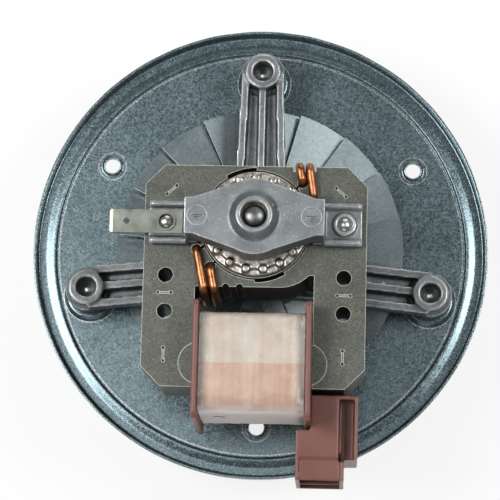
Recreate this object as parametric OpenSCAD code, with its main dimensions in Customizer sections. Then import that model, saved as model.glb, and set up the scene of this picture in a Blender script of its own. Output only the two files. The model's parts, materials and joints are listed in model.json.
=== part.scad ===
// Oven fan motor: a shaded-pole motor on a round steel plate, with a die-cast bracket and a
// sheet-metal cooling fan between the motor and the plate.
// The origin is the centre of the plate's hot face, and +Z runs along the shaft to the motor.

/* [Mounting plate] */
// Outer diameter of the round plate
plate_d = 130; // [124:1:140]
// Sheet thickness of the plate
plate_t = 1; // [0.8:0.1:1.5]
// Height of the turned-up rim above the plate's hot face
rim_h = 4.4; // [3:0.1:7]
// Width of the flat band between the rim and the raised bead
rim_band = 2.6; // [2:0.1:4]
// Width of the raised bead
bead_w = 2.6; // [2:0.1:3]
// Height of the raised bead
bead_h = 0.9; // [0.5:0.1:1.5]
// Diameter of the circle that the three mounting holes lie on
mount_pcd = 100; // [96:1:104]
// Radius of a mounting hole
mount_hole_r = 2.15; // [1.6:0.05:2.6]
// Diameter of the opening for the shaft
shaft_opening_d = 12; // [9:0.5:16]

/* [Bracket] */
// Diameter of the circle that the three bosses stand on
boss_pcd = 100; // [96:1:104]
// Angle between the upper arm and each side arm
arm_angle = 105; // [100:1:112]
// Radius of a boss at its top
boss_top_r = 5; // [4.5:0.1:5.6]
// Radius of a boss at its foot
boss_foot_r = 5.8; // [5.2:0.1:6.2]
// Radius of the counterbore in a boss
boss_bore_r = 2.8; // [2.6:0.1:3.4]
// Depth of the counterbore in a boss
boss_bore_depth = 5.5; // [5:0.5:9]
// Height of the bosses above the plate's hot face
boss_top_z = 17; // [16:0.5:20]
// Underside of the bracket's arms
arm_z = 10.5; // [10.2:0.1:12]
// Thickness of the web at the bottom of an arm
arm_web_t = 2; // [1.4:0.1:3]
// Slope of the side arms' middle lines below the line through the two posts
arm_slope = 6; // [4:0.5:9]
// Width of the upper arm at the hub
arm_root_w = 15.4; // [14:0.2:17]
// Width of a side arm at the hub
side_root_w = 11.6; // [11:0.2:13]
// Width of an arm at its boss
arm_tip_w = 11.8; // [11:0.2:13]
// Width of each rib on an arm
arm_rib_w = 2.2; // [1.4:0.1:2.4]
// Radius of the two posts that carry the stator
post_r = 5.2; // [4.8:0.1:6]

/* [Stator] */
// Width of the laminated core
core_w = 60; // [58:1:64]
// Distance from the shaft axis to the core's upper edge
core_top = 16.2; // [16.2:0.1:19]
// Distance from the shaft axis to the ends of the legs
core_drop = 44.2; // [43.6:0.2:48]
// Height of the lamination stack
stack_h = 21; // [18:0.5:23]
// Size of the chamfer on the core's corners
core_chamfer = 5.3; // [4:0.1:6]
// Radius of the bore for the rotor
stator_bore_r = 15; // [14.8:0.05:15.1]
// Step of the wider air gap at one side of each pole
gap_step = 0.75; // [0.3:0.05:0.9]
// Width of the window for the coil
window_w = 32; // [31.6:0.2:34]
// Distance from the shaft axis to the window's upper edge
window_top = 17; // [16.8:0.1:17.6]
// Height of the stator's underside above the plate's hot face
stack_z = 25; // [24.6:0.1:27]
// Distance of the stator screws from the shaft axis
screw_x = 24; // [23.6:0.1:24.6]
// Radius of a stator screw
screw_r = 1.95; // [1.7:0.05:2.2]

/* [Coil] */
// Distance from the shaft axis to the middle of the core bar
bar_y = 37.8; // [37.4:0.1:38.2]
// Width of the core bar
bar_w = 10.8; // [10:0.2:12]
// Reach of the bar's round end into a leg
bar_reach = 3.85; // [3.4:0.05:4.4]
// Wall of the bobbin's tube
bobbin_wall = 1.2; // [0.8:0.1:1.6]
// Thickness of the bobbin's flanges
flange_t = 1.6; // [1.2:0.1:2]
// Width of the bobbin's flanges across the bar
flange_w = 32; // [30:0.5:33]
// Depth of the bobbin's flanges along the shaft
flange_d = 42; // [40:0.5:43]
// Width of the wound coil across the bar
coil_w = 27.6; // [24:0.2:28.4]
// Depth of the wound coil along the shaft
coil_d = 36.6; // [35:0.2:38]
// Thickness of the film that wraps the coil
tape_t = 0.3; // [0.2:0.05:0.5]

/* [Connector] */
// Depth of the connector housing along the shaft
housing_d = 27; // [26:0.5:29]
// Outer width of the socket
socket_w = 13; // [12.4:0.1:14]
// Length of the socket beyond the housing
socket_l = 6; // [5:0.5:8]
// Wall of the socket
socket_wall = 1.1; // [0.9:0.1:1.4]
// Width of the flat contacts
contact_w = 6.3; // [4.8:0.1:6.4]
// Thickness of the flat contacts
contact_t = 0.8; // [0.5:0.1:1]

/* [Rotor and shaft] */
// Diameter of the shaft in its bearings
shaft_d = 6; // [5:0.5:6.4]
// Diameter of the impeller's seat on the hot side
seat_d = 5; // [4:0.5:5]
// Reach of the shaft beyond the plate's hot face
shaft_reach = 28; // [22:1:34]
// Radial air gap between rotor and stator
air_gap = 0.4; // [0.3:0.05:0.5]
// Number of bars in the rotor's cage
cage_bars = 17; // [13:1:19]
// Height of the cage's end rings
end_ring_h = 3.2; // [2.6:0.1:3.3]

/* [Cooling fan] */
// Outer diameter of the cooling fan
fan_d = 81.6; // [76:0.2:82]
// Number of blades
fan_blades = 18; // [12:1:20]
// Twist of each blade about its own middle line
blade_twist = 11; // [6:0.5:12]
// Sheet thickness of the fan
fan_t = 0.8; // [0.5:0.1:0.9]
// Height of the fan's disc above the plate's hot face
fan_z = 6.2; // [6:0.1:6.4]
// Diameter of the flat middle of the fan
fan_hub_d = 34; // [30:1:40]

/* [Front bridge] */
// Height of the bridge's top above the stator
bridge_h = 12.8; // [12.6:0.1:15]
// Radius of the bridge's round middle
bridge_r = 10.3; // [9.8:0.1:11]
// Half length of the bridge's raised top
bridge_x = 18.6; // [18.2:0.1:19]
// Half width of the bridge's top at its ends
bridge_y = 5; // [4.6:0.1:5.4]
// Wall of the bridge
bridge_t = 2.2; // [1.8:0.1:2.6]
// Thickness of the bridge's feet
foot_t = 2; // [1.6:0.1:2.4]
// Height of the conical nose
nose_h = 2.5; // [1.5:0.1:3]
// Width of the flat earth terminal
earth_w = 6.3; // [6.3:0.1:6.4]
// Thickness of the earth terminal
earth_t = 0.8; // [0.6:0.1:1]
// Diameter of the wire of the shading rings
ring_wire_d = 2.4; // [2:0.1:2.4]

/* [Hidden] */
$fn = 96;
eps = 0.01;
clearance = 0.05;
ease = 0.985;
relief = 40;

plate_r = plate_d / 2;
lip_foot_r = plate_r - 1.6;
bead_out_r = lip_foot_r - rim_band;
bead_in_r = bead_out_r - bead_w;
bead_slope = 0.6;
pad_r = 7.5;
pad_h = 1.2;
pad_top_z = plate_t + pad_h;
collar_w = 0.75;
collar_h = 0.6;
plate_screw_r = 1.85;
plate_screw_head_r = 3.6;
plate_screw_len = 12.2;
plate_hole_gap = 0.08;
cross_l = 4;
cross_w = 0.8;

boss_r = boss_pcd / 2;
mount_r = mount_pcd / 2;
arm_dirs = [90, 90 + arm_angle, 90 - arm_angle];
mount_dirs = [30, 150, 270];
arm_top_z = boss_top_z - 0.6;
hub_r = 8.8;
hub_top_z = stack_z - end_ring_h - 1;
hub_plate_t = 3;
casting_foot_z = arm_z - 0.2;
post_z = arm_z + 0.5;
hub_plate_r = 12;
screw_head_r = 3.5;
screw_head_h = 2.5;
screw_head_z = arm_z + 0.4;

stack_top_z = stack_z + stack_h;
stack_mid_z = stack_z + stack_h / 2;
rotor_r = stator_bore_r - air_gap;
end_ring_w = 5;
cage_lug_r = 1.05;
washer_w = 1.8;
washer_gap = 0.3;
shaft_r = shaft_d / 2;
seat_r = seat_d / 2;
seat_l = 9;
seat_z = -17;
flat_depth = 0.4;
undercut = 0.5;
undercut_l = 1;
end_chamfer = 0.8;
bearing_fit = 0.03;
bearing_r = 6.2;
bearing_h = 8;
bearing_seat_r = bearing_r + 2 * clearance;
rear_bearing_z = arm_z + 1 + bearing_h / 2;
front_bearing_z = stack_top_z + bridge_h - 0.8 - bearing_h / 2;
clip_r = 6.6;
clip_t = 0.7;
felt_in_r = 3.6;
felt_w = 0.8;
clip_slot_w = 0.8;

bridge_top_z = stack_top_z + bridge_h;
bridge_wall = 1.2;
nose_top_z = bridge_top_z + nose_h;
nose_foot_r = 6.7;
nose_top_r = 4.75;
nose_hole_r = shaft_r + 0.35;
skirt_z = stack_top_z + end_ring_h + 0.8;
socket_boss_z = stack_top_z + end_ring_h - 0.4;
foot_z = stack_top_z + foot_t;
hollow_l = bridge_x - bridge_t - hub_r;
hollow_h = bridge_top_z - skirt_z - 1.4;
foot_end_x = screw_x + 4.7;
foot_half_w = 6;
foot_rib_w = 2;

earth_blade_l = 10.6;
earth_corner = 0.4;
earth_bevel_l = 0.9;
earth_bevel_t = 0.2;
earth_lip_w = 0.55;
earth_lip_h = 0.6;
lock_hole_x = 4.6;
lock_hole_r = 0.85;

window_x = window_w / 2;
notch_x = [-7.7, -4];
notch_r = 0.95;
core_hole_y = [0, -14.1, -23.9];
gap_angle = 31.5;
bar_half = bar_w / 2;
bar_end_r = (bar_half * bar_half + bar_reach * bar_reach) / (2 * bar_reach);
bar_slack = 0.2;
bar_fit = 0.09;
flange_in_x = window_x - 0.2 - flange_t;
flange_out_x = window_x - 0.2;
tube_half_y = bar_half + bar_slack + bobbin_wall;
tube_half_z = stack_h / 2 + bar_slack + bobbin_wall;
coil_corner_r = 5;

housing_top_y = core_drop + 1.2;
housing_end_y = housing_top_y + 16.8;
housing_front_z = stack_mid_z - flange_d / 2 + 1 + housing_d;
housing_back_z = housing_front_z - housing_d;
housing_main_w = 7.6;
housing_x = flange_out_x;
channel_w = 4.1;
channel_depth = 5;
channel_rib_w = 0.8;
channel_rib_y = [57, 60.6];
column_w = 1;
rail_w = 0.9;
recess_depth = 0.6;
mouth_rib_x = 17.9;
mouth_rib_w = 1;
mouth_rib_h = 0.7;
socket_x = housing_x - 3.9;
extension_y = housing_end_y - 7.4;
chamber_depth = 11;
contact_l = 8;

mark_l = 3.5;
mark_w = 0.45;
mark_depth = 0.15;
mark_pit_depth = 1;

fan_r = fan_d / 2;
fan_hub_r = fan_hub_d / 2;
slot_w = 0.25;
spigot_r = shaft_r + 1;
peen_h = 0.7;
collar_gap = 0.8;
slot_angle = 14.8;

shade_r = ring_wire_d / 2;
shade_bend_r = shade_r + 0.2;
shade_hole_r = shade_r + 0.2;
notch_depth = 1.35;
upper_ring_y = core_top - notch_depth + shade_r + clearance;
lower_ring_y = -window_top - shade_r - clearance;
upper_inner = [[12.4, 11.7], [11.6, upper_ring_y]];
upper_outer = [[15.6, 7.4], [14.3, upper_ring_y]];
lower_inner = [[-12, -11.6], [-10.7, lower_ring_y]];
lower_outer = [[-15.8, -7], [-13.5, lower_ring_y]];
slit_w = 0.7;
SHADES = [upper_inner, upper_outer, lower_inner, lower_outer];

galvanised = [0.56, 0.61, 0.64];
cast_grey = [0.45, 0.46, 0.47];
lamination_grey = [0.40, 0.40, 0.37];
copper = [0.72, 0.42, 0.24];
brown = [0.45, 0.28, 0.24];
steel = [0.62, 0.62, 0.62];

// Point where a line from p runs into the circle of radius r round the origin, so close to the
// touching point that only a faint corner is left; side is 1 for the point that lies
// anticlockwise of p and -1 for the other
function touch_point(p, r, side) =
    let (inner_r = r * ease, a = atan2(p[1], p[0]) + side * acos(inner_r / norm(p)))
    [inner_r * cos(a), inner_r * sin(a)];

// Places the children on a circle at each of the given directions
module at_dirs(dirs, r) {
    for (a = dirs) rotate(a) translate([r, 0, 0]) children();
}

// Round rod with a domed upper end
module domed_rod(r, h) {
    cylinder(r = r, h = h - r / 2);
    translate([0, 0, h - r / 2]) intersection() {
        cylinder(r = r, h = r);
        translate([0, 0, -r * 0.75]) sphere(r = r * 1.25);
    }
}

// Cross recess cut into the foot of a screw
module cross_recess(depth) {
    for (a = [0, 90]) rotate(a)
        translate([-cross_l / 2, -cross_w / 2, -1]) cube([cross_l, cross_w, depth + 1]);
}

// Ring round the shaft axis from radius r1 to radius r2
module ring(r1, r2, h) {
    difference() {
        cylinder(r = r2, h = h);
        translate([0, 0, -1]) cylinder(r = r1, h = h + 2);
    }
}

// Rectangle with round corners, centred on the origin
module round_rect(w, h, r) {
    square([w, h - 2 * r], center = true);
    square([w - 2 * r, h], center = true);
    for (x = [-1, 1], y = [-1, 1]) translate([x * (w / 2 - r), y * (h / 2 - r)]) circle(r = r);
}

// Section of the plate's bead and turned-up rim
module rim_section() {
    polygon([
        [bead_in_r - 5, 0], [bead_in_r, 0], [bead_in_r + bead_slope, bead_h],
        [bead_out_r - bead_slope, bead_h], [bead_out_r, 0], [plate_r - 1, 0],
        [plate_r - 0.3, 0.5], [plate_r, rim_h], [plate_r - 0.8, rim_h],
        [lip_foot_r + 0.1, plate_t + 0.3], [lip_foot_r - 0.3, plate_t], [bead_out_r + 0.2, plate_t],
        [bead_out_r - bead_slope + 0.2, plate_t + bead_h],
        [bead_in_r + bead_slope - 0.2, plate_t + bead_h], [bead_in_r - 0.2, plate_t],
        [bead_in_r - 5, plate_t]
    ]);
}

module mounting_plate() {
    color(galvanised) difference() {
        union() {
            cylinder(r = bead_in_r - 4, h = plate_t);
            rotate_extrude() rim_section();
            at_dirs(arm_dirs, boss_r)
                translate([0, 0, plate_t]) cylinder(r1 = pad_r, r2 = pad_r - 0.8, h = pad_h);
            at_dirs(mount_dirs, mount_r)
                translate([0, 0, plate_t])
                    cylinder(r1 = mount_hole_r + collar_w, r2 = mount_hole_r + 0.3, h = collar_h);
        }
        translate([0, 0, -1]) cylinder(d = shaft_opening_d, h = plate_t + 2);
        at_dirs(arm_dirs, boss_r) {
            translate([0, 0, -1]) cylinder(r = pad_r - 1.2, h = pad_h + 1);
            cylinder(r = plate_screw_r + plate_hole_gap, h = pad_top_z + 1);
        }
        at_dirs(mount_dirs, mount_r)
            translate([0, 0, -1]) cylinder(r = mount_hole_r, h = plate_t + collar_h + 2);
    }
}

module plate_screws() {
    color(steel) at_dirs(arm_dirs, boss_r) {
        difference() {
            cylinder(r = plate_screw_head_r, h = pad_h);
            cross_recess(0.7);
        }
        translate([0, 0, pad_h - eps])
            domed_rod(plate_screw_r, plate_screw_len - pad_h);
    }
}

// Strip along the upper arm between two offsets from its middle line, given at hub and boss
module upper_strip(root, tip) {
    polygon([[root[0], 0], [root[1], 0], [tip[1], boss_r], [tip[0], boss_r]]);
}

// Strip along both side arms, in one piece that turns downward from the middle
module side_strip(root, tip) {
    boss = [boss_r * sin(arm_angle), boss_r * cos(arm_angle)];
    root_y = boss[1] + boss[0] * tan(arm_slope);
    roots = [for (d = root) [0, root_y + d / cos(arm_slope)]];
    tips = [for (d = tip) boss + d * [sin(arm_slope), cos(arm_slope)]];
    polygon([roots[0], tips[0], tips[1], roots[1], [-tips[1][0], tips[1][1]],
             [-tips[0][0], tips[0][1]]]);
}

// Offsets of a rib's two sides on an arm of the given width; k is -1, 0 or 1
function rib_span(k, width) =
    k == 0 ? [-arm_rib_w / 2, arm_rib_w / 2]
           : k > 0 ? [width / 2 - arm_rib_w, width / 2] : [-width / 2, arm_rib_w - width / 2];

module bracket_arms() {
    linear_extrude(arm_web_t) {
        upper_strip([-arm_root_w / 2, arm_root_w / 2], [-arm_tip_w / 2, arm_tip_w / 2]);
        side_strip([-side_root_w / 2, side_root_w / 2], [-arm_tip_w / 2, arm_tip_w / 2]);
    }
    linear_extrude(arm_top_z - arm_z)
        for (k = [-1, 0, 1]) {
            upper_strip(rib_span(k, arm_root_w), rib_span(k, arm_tip_w));
            side_strip(rib_span(k, side_root_w), rib_span(k, arm_tip_w));
        }
}

module bracket_boss() {
    translate([0, 0, casting_foot_z]) cylinder(r = arm_tip_w / 2 + 0.3, h = arm_web_t + 1);
    translate([0, 0, pad_top_z])
        cylinder(r1 = boss_foot_r, r2 = boss_top_r + 0.2, h = arm_z - pad_top_z + arm_web_t);
    translate([0, 0, arm_z]) cylinder(r = boss_top_r, h = boss_top_z - arm_z);
}

module bracket_solid() {
    translate([0, 0, arm_z]) bracket_arms();
    at_dirs(arm_dirs, boss_r) bracket_boss();
    translate([0, 0, casting_foot_z])
        linear_extrude(hub_plate_t) bridge_outline(screw_x - 1, post_r - 1, hub_plate_r);
    translate([0, 0, arm_z + 1]) cylinder(r = hub_r, h = hub_top_z - arm_z - 1);
    for (s = [-1, 1]) translate([s * screw_x, 0, post_z]) cylinder(r = post_r, h = stack_z - post_z);
}

module motor_bracket() {
    color(cast_grey) difference() {
        bracket_solid();
        translate([0, 0, arm_z - 1]) cylinder(r = shaft_r + 0.5, h = relief);
        translate([0, 0, rear_bearing_z]) {
            sphere(r = bearing_r + clearance);
            cylinder(r = bearing_seat_r, h = relief);
        }
        translate([0, 0, rear_bearing_z + bearing_h / 2])
            cylinder(r = clip_r + clearance, h = relief);
        translate([0, 0, arm_z - 1]) ring(hub_r + 1.6, hub_r + 2.8, 2.2);
        at_dirs(arm_dirs, boss_r) {
            cylinder(r = plate_screw_r + clearance, h = boss_top_z + 1);
            translate([0, 0, boss_top_z - boss_bore_depth])
                cylinder(r = boss_bore_r, h = boss_bore_depth + 1);
        }
        for (s = [-1, 1]) translate([s * screw_x, 0, 0]) {
            cylinder(r = screw_r + 0.15, h = stack_z + 1);
            cylinder(r = screw_head_r + 0.3, h = screw_head_z + screw_head_h);
        }
    }
}

// Self-aligning sintered bearing: a ball with flat ends and a bore
module ball_bearing_bush(z) {
    translate([0, 0, z]) difference() {
        intersection() {
            sphere(r = bearing_r);
            cylinder(r = bearing_r + 1, h = bearing_h, center = true);
        }
        cylinder(r = shaft_r + bearing_fit, h = bearing_h + 2, center = true);
    }
}

// Spring clip that holds a bearing in its seat, with slots between its fingers
module bearing_clip(z) {
    translate([0, 0, z]) difference() {
        ring(felt_in_r + felt_w + 0.1, clip_r, clip_t);
        for (a = [30:60:330]) rotate(a)
            translate([felt_in_r, -clip_slot_w / 2, -1]) cube([2, clip_slot_w, clip_t + 2]);
    }
}

module rear_bearing() {
    color([0.55, 0.45, 0.32]) ball_bearing_bush(rear_bearing_z);
}

module rear_bearing_clip() {
    color(steel) bearing_clip(rear_bearing_z + bearing_h / 2);
}

module rear_oil_felt() {
    color([0.75, 0.72, 0.62]) translate([0, 0, rear_bearing_z + bearing_h / 2])
        ring(felt_in_r - 0.2, felt_in_r + felt_w, clip_t);
}

// One blade: a sector of the sheet, turned about its own middle line
module fan_blade() {
    half = 180 / fan_blades;
    far = fan_r + 4;
    intersection() {
        rotate([blade_twist, 0, 0]) translate([0, 0, -fan_t / 2]) linear_extrude(fan_t)
            polygon([[fan_hub_r - 4, -(fan_hub_r - 4) * tan(half) + slot_w / 2],
                     [far, -far * tan(half) + slot_w / 2],
                     [far, far * tan(half) - slot_w / 2],
                     [fan_hub_r - 4, (fan_hub_r - 4) * tan(half) - slot_w / 2]]);
        translate([0, 0, -10]) ring(fan_hub_r - 2, fan_r, 20);
    }
}

module cooling_fan() {
    color(galvanised) translate([0, 0, fan_z]) difference() {
        union() {
            translate([0, 0, -fan_t / 2]) cylinder(r = fan_hub_r, h = fan_t);
            for (i = [0:fan_blades - 1])
                rotate(slot_angle + (i + 0.5) * 360 / fan_blades) fan_blade();
        }
        translate([0, 0, -5]) cylinder(r = spigot_r, h = 10);
    }
}

// Bush pressed on the shaft, with a spigot that is peened over the fan's disc
module fan_collar() {
    below = fan_z - fan_t / 2;
    color(steel) difference() {
        union() {
            translate([0, 0, below + fan_t])
                cylinder(r = shaft_r + 3, h = arm_z - collar_gap - below - fan_t);
            translate([0, 0, below - peen_h]) cylinder(r = spigot_r, h = fan_t + 1);
            translate([0, 0, below - peen_h]) cylinder(r = spigot_r + 1, h = peen_h);
        }
        translate([0, 0, -1]) cylinder(r = shaft_r, h = 30);
    }
}

// Shaft: domed at the nose, stepped down on the hot side with one flat and a threaded end
module motor_shaft() {
    body_foot_z = seat_z + seat_l;
    color(steel) {
        translate([0, 0, body_foot_z]) domed_rod(shaft_r, nose_top_z - 0.6 - body_foot_z);
        difference() {
            translate([0, 0, seat_z]) cylinder(r = seat_r, h = seat_l);
            translate([seat_r - flat_depth, -5, seat_z - 1]) cube([5, 10, seat_l + 1]);
        }
        translate([0, 0, seat_z - undercut_l]) cylinder(r = seat_r - undercut, h = undercut_l);
        translate([0, 0, end_chamfer - shaft_reach])
            cylinder(r = seat_r, h = shaft_reach + seat_z - undercut_l - end_chamfer);
        translate([0, 0, -shaft_reach])
            cylinder(r1 = seat_r - end_chamfer + 0.1, r2 = seat_r, h = end_chamfer);
    }
}

module rotor_core() {
    color(lamination_grey) translate([0, 0, stack_z]) difference() {
        cylinder(r = rotor_r, h = stack_h);
        translate([0, 0, -1]) cylinder(r = shaft_r, h = stack_h + 2);
    }
}

// One end ring of the cage: two steps, with a lug over the end of each bar
module end_ring() {
    ring(rotor_r - end_ring_w, rotor_r - 0.3, end_ring_h * 0.55);
    ring(rotor_r - end_ring_w, rotor_r - 2.2, end_ring_h * 0.8);
    for (i = [0:cage_bars - 1]) rotate((i + 0.25) * 360 / cage_bars)
        translate([rotor_r - 1.9, 0, 0]) cylinder(r = cage_lug_r, h = end_ring_h);
}

module rotor_cage() {
    color([0.72, 0.72, 0.70]) {
        translate([0, 0, stack_top_z]) end_ring();
        translate([0, 0, stack_z]) mirror([0, 0, 1]) end_ring();
    }
}

module rear_thrust_washer() {
    foot = rear_bearing_z + bearing_h / 2 + clip_t + washer_gap;
    color(steel) translate([0, 0, foot]) ring(shaft_r, shaft_r + washer_w, stack_z - foot);
}

module front_thrust_washer() {
    top = front_bearing_z - bearing_h / 2 - clip_t - washer_gap;
    color(steel) translate([0, 0, stack_top_z]) ring(shaft_r, shaft_r + washer_w, top - stack_top_z);
}

// Outline of the bridge's top: a round middle that runs out to two narrower ends
module bridge_outline(half_len, half_end, mid_r) {
    corner = [half_len - 2.2, half_end];
    t = touch_point(corner, mid_r, 1);
    circle(r = mid_r);
    polygon([[half_len, half_end], corner, t, [-t[0], t[1]], [-corner[0], corner[1]],
             [-half_len, half_end], [-half_len, -half_end], [-corner[0], -corner[1]],
             [-t[0], -t[1]], [t[0], -t[1]], [corner[0], -corner[1]], [half_len, -half_end]]);
}

// Section of the core bar: straight between the legs, with a round end in each leg
module bar_outline(grow) {
    half = bar_half + grow;
    end_r = bar_end_r + grow;
    end_x = window_x + bar_reach - bar_end_r;
    last = acos(1 - bar_reach / bar_end_r) - 3;
    right_end = [for (k = [1:-0.125:-1]) [end_x + end_r * cos(k * last), end_r * sin(k * last)]];
    left_end = [for (p = right_end) [-p[0], -p[1]]];
    polygon(concat([[window_x, half]], right_end, [[window_x, -half], [-window_x, -half]],
                   left_end, [[-window_x, half]]));
}

// Window between the legs, with its upper edge rising to the right corner
module window_outline() {
    flat_end = 6.6;
    rise_r = 11.2;
    translate([-window_x, -core_drop - 5]) square([window_w, core_drop + 5 - window_top]);
    difference() {
        translate([flat_end, -window_top - 1]) square([window_x - flat_end, 4.4]);
        translate([flat_end, -window_top + rise_r]) circle(r = rise_r);
    }
    for (x = notch_x) translate([x, -window_top - 0.1]) circle(r = notch_r);
}

module core_outline() {
    x = core_w / 2;
    polygon([[x, core_top - core_chamfer], [x - core_chamfer, core_top],
             [-x + core_chamfer, core_top], [-x, core_top - core_chamfer],
             [-x, -core_drop + core_chamfer], [-x + core_chamfer, -core_drop],
             [x - core_chamfer, -core_drop], [x, -core_drop + core_chamfer]]);
}

// Holes and slots that hold the shading rings, each open to the bore by a narrow slit
module shading_slots() {
    for (s = SHADES) {
        p = s[0];
        translate(p) circle(r = shade_hole_r);
        rotate(atan2(p[1], p[0])) translate([stator_bore_r - 0.5, -slit_w / 2])
            square([norm(p) - stator_bore_r, slit_w]);
    }
    translate([upper_inner[1][0] - shade_r - 0.5, core_top - notch_depth])
        square([upper_outer[1][0] - upper_inner[1][0] + ring_wire_d + 1, notch_depth + 1]);
}

// Interlocking mark pressed into the top lamination: a shallow groove with a pit at each end
module interlock(x, y, a, l) {
    for (s = [-1, 1]) translate([s * x, y, stack_h]) rotate(s * a) {
        translate([-l / 2, -mark_w / 2, -mark_depth]) cube([l, mark_w, 1]);
        for (e = [-1, 1]) translate([e * l / 2, 0, -mark_pit_depth]) cylinder(r = mark_w, h = 2);
    }
}

module stator_stack() {
    color(lamination_grey) translate([0, 0, stack_z]) difference() {
        linear_extrude(stack_h) difference() {
            core_outline();
            circle(r = stator_bore_r);
            window_outline();
            translate([0, -bar_y]) bar_outline(bar_fit);
            shading_slots();
            for (s = [-1, 1], y = core_hole_y)
                translate([s * screw_x, y]) circle(r = screw_r + 0.1);
        }
        for (a = [90, 270]) rotate(a) translate([0, 0, -1])
            rotate_extrude(angle = gap_angle) square([stator_bore_r + gap_step, stack_h + 2]);
        interlock(24.1, -18.9, 0, mark_l);
        interlock(24, -35.6, 90, mark_l);
        interlock(22.9, 9.3, -42, mark_l);
    }
}

module core_bar() {
    color(lamination_grey) translate([0, -bar_y, stack_z]) linear_extrude(stack_h) bar_outline(0);
}

// Turns a section drawn across the bar so that it runs along the bar from x1 to x2
module along_bar(x1, x2) {
    translate([x1, -bar_y, stack_mid_z]) rotate([90, 0, 90]) linear_extrude(x2 - x1) children();
}

module coil_bobbin() {
    color(brown) difference() {
        union() {
            along_bar(-flange_in_x, flange_in_x) square([2 * tube_half_y, 2 * tube_half_z], center = true);
            along_bar(-flange_out_x, -flange_in_x) round_rect(flange_w, flange_d, 2);
            along_bar(flange_in_x, flange_out_x) round_rect(flange_w, flange_d, 2);
        }
        along_bar(-flange_out_x - 1, flange_out_x + 1)
            square([bar_w + 2 * bar_slack, stack_h + 2 * bar_slack], center = true);
    }
}

module coil_winding() {
    color(copper) difference() {
        along_bar(-flange_in_x + 0.1, flange_in_x - 0.1)
            round_rect(coil_w - 2 * tape_t, coil_d - 2 * tape_t, coil_corner_r - tape_t);
        along_bar(-flange_in_x, flange_in_x)
            square([2 * tube_half_y, 2 * tube_half_z], center = true);
    }
}

module coil_film() {
    color([0.88, 0.83, 0.76]) difference() {
        along_bar(-flange_in_x + 0.1, flange_in_x - 0.1) round_rect(coil_w, coil_d, coil_corner_r);
        along_bar(-flange_in_x, flange_in_x)
            round_rect(coil_w - 2 * tape_t, coil_d - 2 * tape_t, coil_corner_r - tape_t);
    }
}

// Solid block of the housing between two corners in X and Y, over its whole depth
module housing_block(x1, x2, y1, y2) {
    translate([x1, -y2, housing_back_z]) cube([x2 - x1, y2 - y1, housing_d]);
}

module connector_housing() {
    main_x = housing_x + housing_main_w;
    column_x = main_x + channel_w;
    socket_end_y = housing_end_y + socket_l;
    chamber_d = (housing_d - 3 * socket_wall) / 2;
    color(brown) difference() {
        union() {
            housing_block(housing_x, column_x + column_w, housing_top_y, housing_end_y);
            housing_block(socket_x, housing_x + 1, extension_y, housing_end_y);
            housing_block(socket_x, socket_x + socket_w, housing_end_y - 1, socket_end_y);
        }
        translate([main_x, -housing_end_y - 1, housing_front_z - channel_depth])
            cube([channel_w, housing_end_y - housing_top_y, housing_d]);
        for (k = [0, 1])
            translate([socket_x + socket_wall, -socket_end_y - 1,
                       housing_back_z + socket_wall + k * (chamber_d + socket_wall)])
                cube([socket_w - 2 * socket_wall, chamber_depth + 1, chamber_d]);
        translate([socket_x + rail_w, -socket_end_y - 1, housing_front_z - recess_depth])
            cube([socket_w - 2 * rail_w, socket_l + 1, 1]);
    }
    color(brown) {
        translate([main_x - 0.5, -channel_rib_y[1], housing_front_z - channel_depth - 0.5])
            cube([channel_rib_w + 0.5, channel_rib_y[1] - channel_rib_y[0], channel_depth - 0.5]);
        translate([mouth_rib_x, -socket_end_y + 0.4, housing_front_z - socket_wall - mouth_rib_h])
            cube([mouth_rib_w, chamber_depth, mouth_rib_h + 0.3]);
    }
}

module connector_contacts() {
    chamber_d = (housing_d - 3 * socket_wall) / 2;
    floor_y = housing_end_y + socket_l - chamber_depth;
    color([0.72, 0.68, 0.52]) for (k = [0, 1])
        translate([socket_x + (socket_w - contact_w) / 2, -floor_y - contact_l,
                   housing_back_z + socket_wall + chamber_d / 2 - contact_t / 2
                   + k * (chamber_d + socket_wall)])
            cube([contact_w, contact_l, contact_t]);
}

// Closed loop of round wire through a hole at p and round the core's edge at q
module shading_ring(p, q) {
    run = norm(q - p);
    rise = stack_h + 2 * (shade_r + clearance);
    b = shade_bend_r;
    color(copper) translate([p[0], p[1], stack_mid_z])
        rotate([0, 0, atan2(q[1] - p[1], q[0] - p[0])]) {
            for (x = [0, run]) translate([x, 0, -rise / 2 + b]) cylinder(r = shade_r, h = rise - 2 * b);
            for (z = [-1, 1]) translate([b, 0, z * rise / 2]) rotate([0, 90, 0])
                cylinder(r = shade_r, h = run - 2 * b);
            for (k = [0:3])
                translate([k == 0 || k == 3 ? run - b : b, 0, (k < 2 ? 1 : -1) * (rise / 2 - b)])
                    rotate([90, 0, 0]) rotate([0, 0, 90 * k]) rotate_extrude(angle = 90)
                        translate([b, 0]) circle(r = shade_r);
        }
}

module shading_ring_upper_inner() {
    shading_ring(upper_inner[0], upper_inner[1]);
}

module shading_ring_upper_outer() {
    shading_ring(upper_outer[0], upper_outer[1]);
}

module shading_ring_lower_inner() {
    shading_ring(lower_inner[0], lower_inner[1]);
}

module shading_ring_lower_outer() {
    shading_ring(lower_outer[0], lower_outer[1]);
}

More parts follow.
